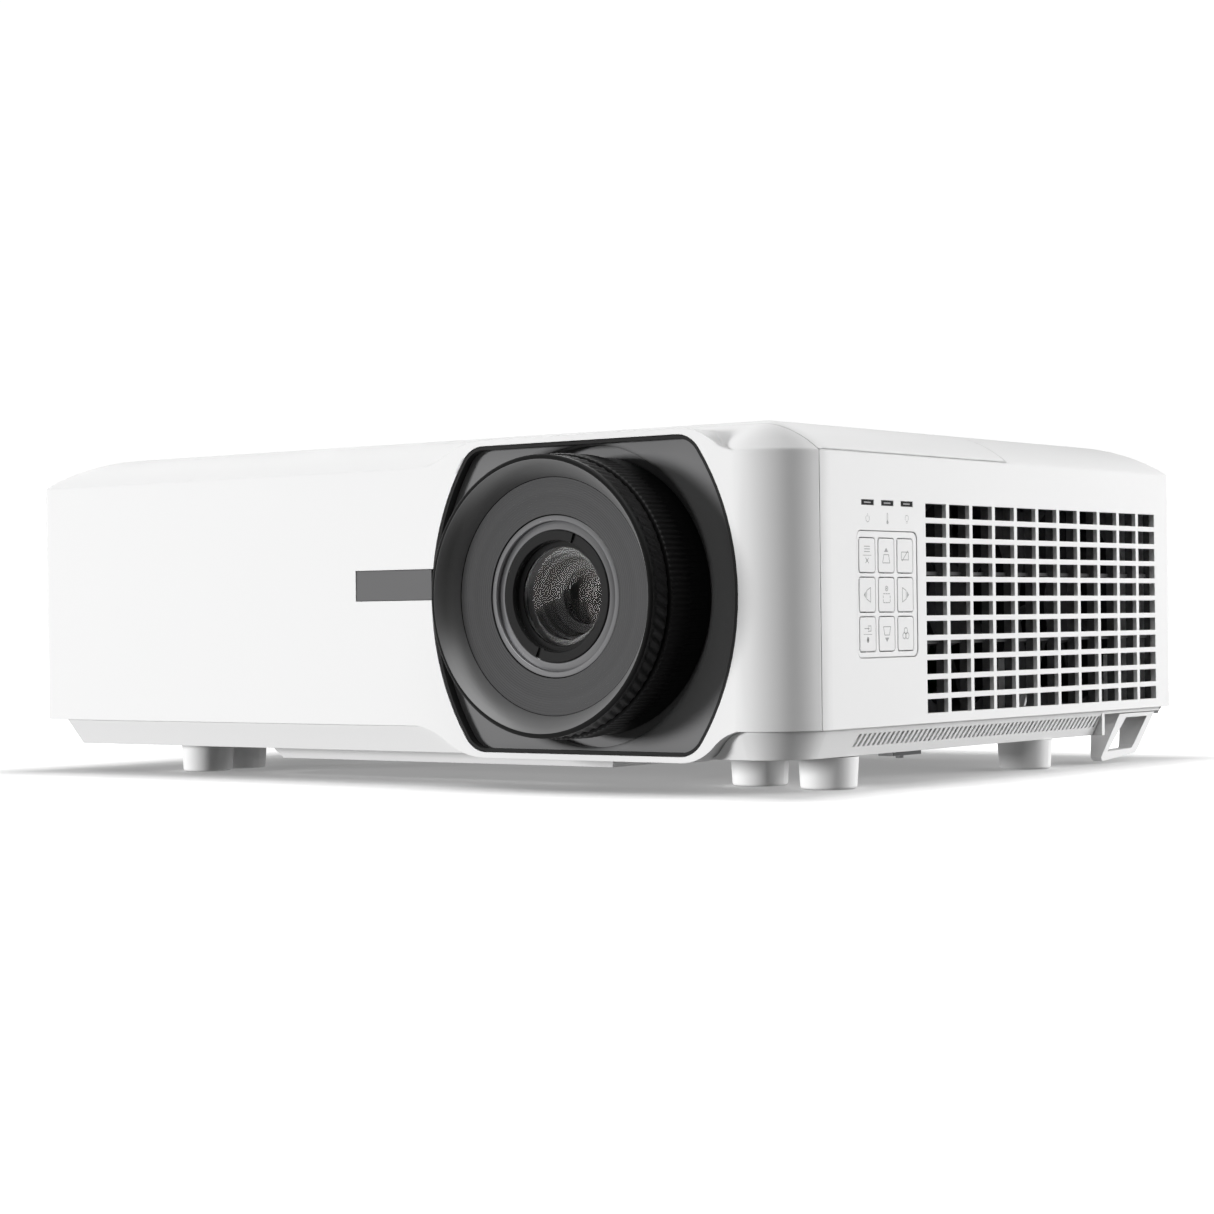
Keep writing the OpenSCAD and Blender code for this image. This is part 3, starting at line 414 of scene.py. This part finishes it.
# plastic: name, colour, roughness, grain size, grain depth, change of tone, edge radius
# turned: name, colour, roughness, groove pitch, groove depth, metallic
MATERIAL = {
    "shell_white": plastic("shell_white", (0.84, 0.84, 0.84), 0.38, 0.45 * MM, 0.006 * MM, 0.01, shell_edge),
    "key_white": plastic("key_white", (0.83, 0.83, 0.83), 0.42, 0.45 * MM, 0.004 * MM, 0.01),
    "panel_grey": plastic("panel_grey", (0.09, 0.09, 0.094), 0.5, 0.4 * MM, 0.01 * MM),
    "grille_dark": plastic("grille_dark", (0.13, 0.13, 0.132), 0.55, 0.5 * MM, 0.01 * MM),
    "plate_black": plate_paint(),
    "ir_grey": plastic("ir_grey", (0.15, 0.15, 0.152), 0.35, 0.4 * MM, 0.003 * MM),
    "window_black": plastic("window_black", (0.03, 0.03, 0.03), 0.15, 0.4 * MM, 0.001 * MM),
    "board_green": plastic("board_green", (0.02, 0.09, 0.045), 0.4, 0.8 * MM, 0.02 * MM, 0.2),
    "ring_black": plastic("ring_black", (0.005, 0.005, 0.005), 0.42, 0.4 * MM, 0.01 * MM),
    "cone_grey": turned("cone_grey", (0.36, 0.36, 0.362), 0.38, 0.8 * MM, 0.002 * MM, 0.6),
    "barrel_black": plastic("barrel_black", (0.014, 0.014, 0.014), 0.4, 0.5 * MM, 0.004 * MM),
    "trim_grey": turned("trim_grey", (0.15, 0.15, 0.152), 0.36, 0.9 * MM, 0.03 * MM, 0.6),
    "ring_silver": turned("ring_silver", (0.55, 0.55, 0.56), 0.3, 0.4 * MM, 0.004 * MM, 0.9),
    "retainer_black": plastic("retainer_black", (0.02, 0.02, 0.02), 0.4, 0.4 * MM, 0.004 * MM),
    "lens_glass": glass("lens_glass", (0.95, 0.95, 0.95)),
    "frame_alloy": metal("frame_alloy", (0.55, 0.56, 0.57), 0.45),
    "phosphor": metal("phosphor", (0.7, 0.6, 0.15), 0.5),
    "motor_grey": metal("motor_grey", (0.25, 0.25, 0.26), 0.4),
    "fan_black": plastic("fan_black", (0.015, 0.015, 0.016), 0.45, 0.6 * MM, 0.008 * MM),
    "inlet_black": plastic("inlet_black", (0.02, 0.02, 0.02), 0.45, 0.6 * MM, 0.008 * MM),
    "socket_metal": metal("socket_metal", (0.5, 0.5, 0.5), 0.35),
    "stud_steel": metal("stud_steel", (0.5, 0.5, 0.51), 0.35),
    "insert_brass": metal("insert_brass", (0.6, 0.42, 0.15), 0.35),
    "symbol_grey": plastic("symbol_grey", (0.4, 0.4, 0.405), 0.5, 0.3 * MM, 0.001 * MM),
}


def dress_cad():
    """Every CAD node gets its slot's finish."""
    slot_of = {s["node"]: s["material_slot"] for s in frame["record"]["subparts"]}
    for name, node in NODES.items():
        node.data.materials.clear()
        node.data.materials.append(finish_of(slot_of[name]))


def finish_of(slot):
    return MATERIAL["shell_white" if slot == "bezel_white" else slot]


def mesh_of(bm, name):
    """Mesh with its faces turned outward. It uses the bmesh up."""
    mesh = bpy.data.meshes.new(name)
    bmesh.ops.recalc_face_normals(bm, faces=bm.faces)
    bm.to_mesh(mesh)
    bm.free()
    return mesh


def add_piece(name, mesh, body, slot, replaces=(), finishes=()):
    """A new piece on a body. It gets its slot's finish, unless it has finishes of its own."""
    if mesh.materials:
        mesh.materials.clear()
    for finish in finishes or (finish_of(slot),):
        mesh.materials.append(finish)
    piece = link(bpy.data.objects.new(name, mesh))
    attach(piece, body)
    if replaces:
        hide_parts(*replaces)
    return piece


# ---------- keypad ----------

def soften(node, slot, body, radius, segments):
    """Copy of a CAD node with the edges of its outer face, at its highest X, rounded to a radius in mm."""
    mesh = bpy.data.meshes.new(node + "_soft")
    bm = bmesh.new()
    bm.from_mesh(NODES[node].data)
    bmesh.ops.remove_doubles(bm, verts=bm.verts, dist=1e-6)
    bmesh.ops.dissolve_limit(bm, angle_limit=math.radians(0.6), verts=bm.verts, edges=bm.edges)
    weight = bm.edges.layers.float.new("bevel_weight_edge")
    turn = math.radians(24)
    face_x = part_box(node)[1].x - 0.1 * MM
    for edge in bm.edges:
        folded = len(edge.link_faces) == 2 and edge.calc_face_angle_signed(0) > turn
        middle = (edge.verts[0].co + edge.verts[1].co) / 2
        edge[weight] = 1 if folded and middle.x > face_x else 0
    for face in bm.faces:
        face.smooth = True
    bm.to_mesh(mesh)
    bm.free()
    mesh.set_sharp_from_angle(angle=turn)
    piece = add_piece(node + "_soft", mesh, body, slot, [node])
    bevel = piece.modifiers.new("rounding", "BEVEL")
    bevel.width = radius * MM
    bevel.segments = segments
    bevel.limit_method = "WEIGHT"
    bevel.use_clamp_overlap = False
    bevel.harden_normals = True


def add_keys():
    """Keys and the bezel round them, with rounded front edges."""
    for name in NODES:
        if name.startswith("key_"):
            soften(name, "key_white", name, 0.35, 3)
    soften("keypad_bezel", "bezel_white", "chassis", 0.3, 2)


# Widths of the printed strokes, and how far the ink reaches into and over its face, in mm
STROKE = 0.3
THIN_STROKE = 0.25
RULE_STROKE = 0.2
WINDOW_STROKE = 0.5
INK_INTO_FACE = 0.03
INK_ON_FACE = 0.02
# From one status window to the next, and from their lower edge down to the marks, in mm
WINDOW_PITCH = 14.2
ICON_DROP = 5


class Print:
    """Flat printed marks on a face that looks to +X. Y runs to the right and Z up, in mm from the middle."""

    def __init__(self, face_x, middle_y, middle_z):
        self.bm = bmesh.new()
        self.x = face_x
        self.middle = Vector((0, middle_y, middle_z))

    def fill(self, *corners):
        """A filled outline. Like every mark, it gives the print back, so that marks can be chained."""
        back, front = ([self.bm.verts.new((self.middle + Vector((x, y, z))) * MM) for y, z in corners]
                       for x in (self.x - INK_INTO_FACE, self.x + INK_ON_FACE))
        self.bm.faces.new(front)
        self.bm.faces.new(back[::-1])
        for i in range(len(corners)):
            j = (i + 1) % len(corners)
            self.bm.faces.new((back[i], back[j], front[j], front[i]))
        return self

    def line(self, start, end, width=STROKE):
        start, end = Vector(start), Vector(end)
        side = (end - start).orthogonal().normalized() * width / 2
        return self.fill(start - side, end - side, end + side, start + side)

    def path(self, *points, width=STROKE, closed=True):
        for i in range(len(points) if closed else len(points) - 1):
            self.line(points[i], points[(i + 1) % len(points)], width)
        return self

    def arc(self, centre, radius, start=0, end=360, width=STROKE, steps=16):
        """Part of a circle, in degrees clockwise from the top."""
        angles = [math.radians(start + (end - start) * i / steps) for i in range(steps + 1)]
        points = [(centre[0] + radius * math.sin(a), centre[1] + radius * math.cos(a)) for a in angles]
        return self.path(*points, width=width, closed=False)

    def disc(self, centre, radius, steps=16):
        angles = [math.tau * i / steps for i in range(steps)]
        points = [(centre[0] + radius * math.cos(a), centre[1] + radius * math.sin(a)) for a in angles]
        return self.fill(*points)

    def done(self, name, body, slot):
        add_piece(name, mesh_of(self.bm, name), body, slot, finishes=(MATERIAL["symbol_grey"],))


def keystone(mark, middle, wide_up):
    """Upright keystone outline, wider at the top or at the bottom."""
    y, z = middle
    tall = 1.6
    upper, lower = (2.6, 1.7) if wide_up else (1.7, 2.6)
    top, bottom = z + tall, z - tall
    return mark.path((y - upper, top), (y + upper, top), (y + lower, bottom), (y - lower, bottom))


def keystone_on_side(mark, side):
    """Arrow and a keystone that opens away from it. side is -1 for left and 1 for right."""
    mark.fill((2.6 * side, 0), (1.3 * side, 1.3 * side), (1.3 * side, -1.3 * side))
    mark.path((0.6 * side, 1.6), (-2.2 * side, 2.8), (-2.2 * side, -2.8), (0.6 * side, -1.6))


def print_menu(mark):
    """Three list lines over a cross."""
    for z in (3.4, 2.4, 1.4):
        mark.line((-2, z), (2, z))
    mark.line((-3, 0), (3, 0), RULE_STROKE)
    mark.line((-1.1, -3), (1.1, -1)).line((-1.1, -1), (1.1, -3))


def print_up(mark):
    keystone(mark, (0, -1.2), False).fill((-1.5, 1.4), (1.5, 1.4), (0, 3))


def print_down(mark):
    keystone(mark, (0, 1.2), True).fill((-1.5, -1.4), (0, -3), (1.5, -1.4))


def print_left(mark):
    keystone_on_side(mark, -1)


def print_right(mark):
    keystone_on_side(mark, 1)


def print_enter(mark):
    """Dot in a ring, over a dashed box."""
    mark.arc((0, 2.4), 0.9).disc((0, 2.4), 0.35)
    for y in (-2.4, -0.7, 1.0):
        mark.line((y, 0.4), (y + 1.4, 0.4)).line((y, -3), (y + 1.4, -3))
    for z in (-0.3, -1.7):
        mark.line((-2.5, z), (-2.5, z - 1)).line((2.5, z), (2.5, z - 1))


def print_blank(mark):
    """Screen, struck through."""
    mark.path((-2.6, 1.5), (2.6, 1.5), (2.6, -1.5), (-2.6, -1.5)).line((-2.2, -2), (2.2, 2))


def print_source(mark):
    """Arrow into an open box, over two dots."""
    mark.path((0, 3.2), (2.2, 3.2), (2.2, 1.2), (0, 1.2), closed=False)
    mark.line((-2.4, 2.2), (0.4, 2.2)).fill((0.2, 2.8), (1.1, 2.2), (0.2, 1.6))
    mark.line((-3, 0), (3, 0), RULE_STROKE)
    mark.disc((0, -1.7), 0.75).disc((0, -2.5), 0.75)


def print_mode(mark):
    """Three rings that overlap."""
    for y, z in ((0, 1.1), (-1.1, -0.8), (1.1, -0.8)):
        mark.arc((y, z), 1.2)


def print_power(mark):
    mark.arc((0, -0.2), 1.3, 35, 325, THIN_STROKE).line((0, 0.5), (0, 1.7), THIN_STROKE)


def print_heat(mark):
    for y in (-0.3, 0.3):
        mark.line((y, 1.9), (y, -0.8), THIN_STROKE)
    mark.arc((0, 1.8), 0.3, -90, 90, THIN_STROKE, 6).disc((0, -1.4), 0.75)


def print_lamp(mark):
    mark.arc((0, 0.4), 1.2, -140, 140, THIN_STROKE)
    for half, z in ((0.6, -0.8), (0.5, -1.4)):
        mark.line((-half, z), (half, z), THIN_STROKE)


def face_of(node):
    """X of a CAD node's outer face, and Y and Z of its middle, in mm."""
    low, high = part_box(node)
    return high.x / MM, (low.y + high.y) / 2 / MM, (low.z + high.z) / 2 / MM


def add_prints():
    """Generic symbols on the keys, a line on each status window and a small mark under it."""
    drawings = {"key_menu": print_menu, "key_up": print_up, "key_blank": print_blank,
                "key_left": print_left, "key_enter": print_enter, "key_right": print_right,
                "key_source": print_source, "key_down": print_down, "key_mode": print_mode}
    for name, draw in drawings.items():
        mark = Print(*face_of(name))
        draw(mark)
        mark.done(name + "_print", name, "key_white")
    window_face, middle_y, window_z = face_of("led_windows")
    columns = [middle_y + step * WINDOW_PITCH for step in (-1, 0, 1)]
    half = 2.4
    for number, y in enumerate(columns, 1):
        line = Print(window_face, y, window_z).line((-half, 0), (half, 0), WINDOW_STROKE)
        line.done("led_line_%d" % number, "chassis", "window_black")
    icons = {"icon_power": print_power, "icon_heat": print_heat, "icon_lamp": print_lamp}
    icon_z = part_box("led_windows")[0].z / MM - ICON_DROP
    for y, (name, draw) in zip(columns, icons.items()):
        mark = Print(SIDE_X / MM - INK_ON_FACE, y, icon_z)
        draw(mark)
        mark.done(name, "chassis", "shell_white")


# ---------- lens ----------

def turn_round(name, profile, body, slot, replaces, turns, wave=None, finishes=(), second=()):
    """A closed profile of (radius, y) in mm turned round the lens axis. wave(angle, radius, y) changes the
    radius. second lists the profile's sides that have the second finish."""
    centre = LENS / MM
    bm = bmesh.new()
    rows = []
    for i in range(turns):
        angle = math.tau * i / turns
        row = []
        for radius, y in profile:
            r = radius + (wave(angle, radius, y) if wave else 0)
            point = Vector((centre.x + r * math.cos(angle), y, centre.z + r * math.sin(angle)))
            row.append(bm.verts.new(point * MM))
        rows.append(row)
    for i, row in enumerate(rows):
        ahead = rows[(i + 1) % turns]
        for k in range(len(profile)):
            n = (k + 1) % len(profile)
            face = bm.faces.new((row[k], row[n], ahead[n], ahead[k]))
            face.smooth = True
            face.material_index = 1 if k in second else 0
    mesh = mesh_of(bm, name)
    mesh.set_sharp_from_angle(angle=math.radians(40))
    add_piece(name, mesh, body, slot, replaces, finishes)


def straight(start, end, steps):
    """Points on a straight run, without its end."""
    return [tuple(a + (b - a) * i / steps for a, b in zip(start, end)) for i in range(steps)]


def crest(phase):
    """Wave between 0 and 1."""
    return 0.5 + 0.5 * math.cos(phase)


def add_focus_ring():
    """Grip with slanted scallops that start behind its smooth rim, and a polished cone inside the rim."""
    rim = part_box("focus_ring")[0].y / MM
    back = FRONT_Y / MM - 14.2
    inside = 45.7
    grip = 53.9
    scallops = 77
    depth = 0.8
    roundness = 0.8
    smooth_rim = 2.0
    run_in = 1.6
    run_out = 1.2
    skin = 0.6
    lean = math.tan(math.radians(26)) / grip

    def scallop(angle, radius, y):
        if radius < grip - skin:
            return 0
        fade = min(1, (y - rim - smooth_rim) / run_in, (back - y) / run_out)
        return -depth * max(0, fade) * crest(scallops * (angle + lean * (y - rim))) ** roundness

    cone_and_rim = [(inside, rim + 8.6), (51.9, rim + 0.15), (52.1, rim), (52.7, rim), (53.3, rim + 0.15),
                    (grip, rim + 0.7)]
    grip_face = straight((grip, rim + 1.4), (grip, back - 0.9), 14)
    back_face = [(grip, back - 0.9), (53.4, back - 0.25), (53, back), (48, back), (48, back + 8.2),
                 (inside, back + 8.2)]
    finishes = (MATERIAL["ring_black"], MATERIAL["cone_grey"])
    turn_round("focus_grip_ring", cone_and_rim + grip_face + back_face, "focus_grip", "ring_black",
               ["focus_ring"], scallops * 8, scallop, finishes, (0, 1))


def add_zoom_ring():
    """Wider ring behind the focus ring, with a fine straight knurl."""
    front = FRONT_Y / MM - 13.7
    back = FRONT_Y / MM
    inside = 45.7
    grip = 54.8
    beads = 150
    depth = 0.42
    run_in = 0.8
    skin = 0.3

    def bead(angle, radius, y):
        if radius < grip - skin:
            return 0
        return -depth * crest(beads * angle) * min(1, max(0, (y - front) / run_in))

    front_face = [(48.4, front), (53.8, front), (54.4, front + 0.2), (grip, front + 0.7)]
    grip_face = straight((grip, front + 1.2), (grip, back - 1.2), 6)
    back_face = [(grip, back - 1), (54, back - 0.2), (54, back + 12), (50.2, back + 12), (50.2, back),
                 (inside, back), (inside, front + 8.1), (48.4, front + 8.1)]
    turn_round("zoom_grip_ring", front_face + grip_face + back_face, "zoom_grip", "ring_black",
               ["zoom_ring"], beads * 6, bead)


def add_trim_disc():
    """Shallow turned cone between the focus ring and the silver ring."""
    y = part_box("front_trim")[0].y / MM
    inner = 31.4
    outer = 45.6
    cone = straight((31.7, y + 1.28), (45.48, y), 106)[1:]
    profile = [(inner, y + 1.3)] + cone + [(45.45, y), (outer, y + 0.3), (outer, y + 1.3), (38, y + 1.3),
                                           (38, y + 2.3), (inner, y + 2.3)]
    turn_round("trim_disc", profile, "lens", "trim_grey", ["front_trim"], 240)


def add_silver_lip():
    """Bright rounded lip round the front glass."""
    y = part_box("silver_ring")[0].y / MM
    face = [(28.9, y + 0.15), (29.05, y), (30.75, y), (31.0, y + 0.12), (31.1, y + 0.3)]
    behind = [(31.1, y + 2.4), (25.4, y + 2.4), (25.4, y + 1.4), (25.7, y + 1.1), (28.5, y + 1.4),
              (28.9, y + 1.8)]
    turn_round("silver_lip", face + behind, "focus_group", "ring_silver", ["silver_ring"], 240)


# ---------- small parts under the shell ----------

def bar(bm, low, high, shear=0.0):
    """Box from low to high in mm. shear moves its top along Y."""
    verts = [bm.verts.new(Vector((x, y + (shear if z == high[2] else 0), z)) * MM)
             for x in (low[0], high[0]) for y in (low[1], high[1]) for z in (low[2], high[2])]
    for corners in ((0, 1, 3, 2), (4, 6, 7, 5), (0, 4, 5, 1), (2, 3, 7, 6), (0, 2, 6, 4), (1, 5, 7, 3)):
        bm.faces.new([verts[i] for i in corners])


def small_piece(name, slot, *boxes):
    """A fixed piece made of boxes, with its edges slightly rounded."""
    bm = bmesh.new()
    for box in boxes:
        bar(bm, *box)
    piece = add_piece(name, mesh_of(bm, name), "chassis", slot)
    rounding = piece.modifiers.new("rounding", "BEVEL")
    rounding.width = 0.25 * MM
    rounding.segments = 2


def add_small_parts():
    """Steel clip under the tray's right edge, and two ribs inside the side wall."""
    clip = ((186, -56.5, 10.8), (193, -35.5, 12.55))
    clip_boss = ((188, -47, 9.6), (190.4, -44.6, 10.9))
    small_piece("foot_lock_clip", "stud_steel", clip, clip_boss)
    leaning_rib = ((191, 40.2, 23.2), (195.8, 42, 32), 5)
    plain_rib = ((191, 32.5, 23.2), (195.8, 38, 29))
    small_piece("vent_ribs", "shell_white", leaning_rib, plain_rib)


# ---------- scene ----------

add_camera()
bpy.context.scene.view_settings.view_transform = "Standard"
add_world()
# Name, aim, azimuth, height, distance, width, tall, watts
add_softbox("key", (0.05, -0.14, 0.07), -41, 0.38, 8.0, 1.7, 1.0, 760)
add_softbox("side", (0.2, 0.05, 0.07), 148, 0.35, 3.0, 1.5, 1.2, 120)
add_softbox("edge", (0.2, -0.05, 0.07), 110, 0.2, 2.5, 1.0, 1.2, 30)
add_floor()
dress_cad()
add_keys()
add_prints()
add_focus_ring()
add_zoom_ring()
add_trim_disc()
add_silver_lip()
add_small_parts()
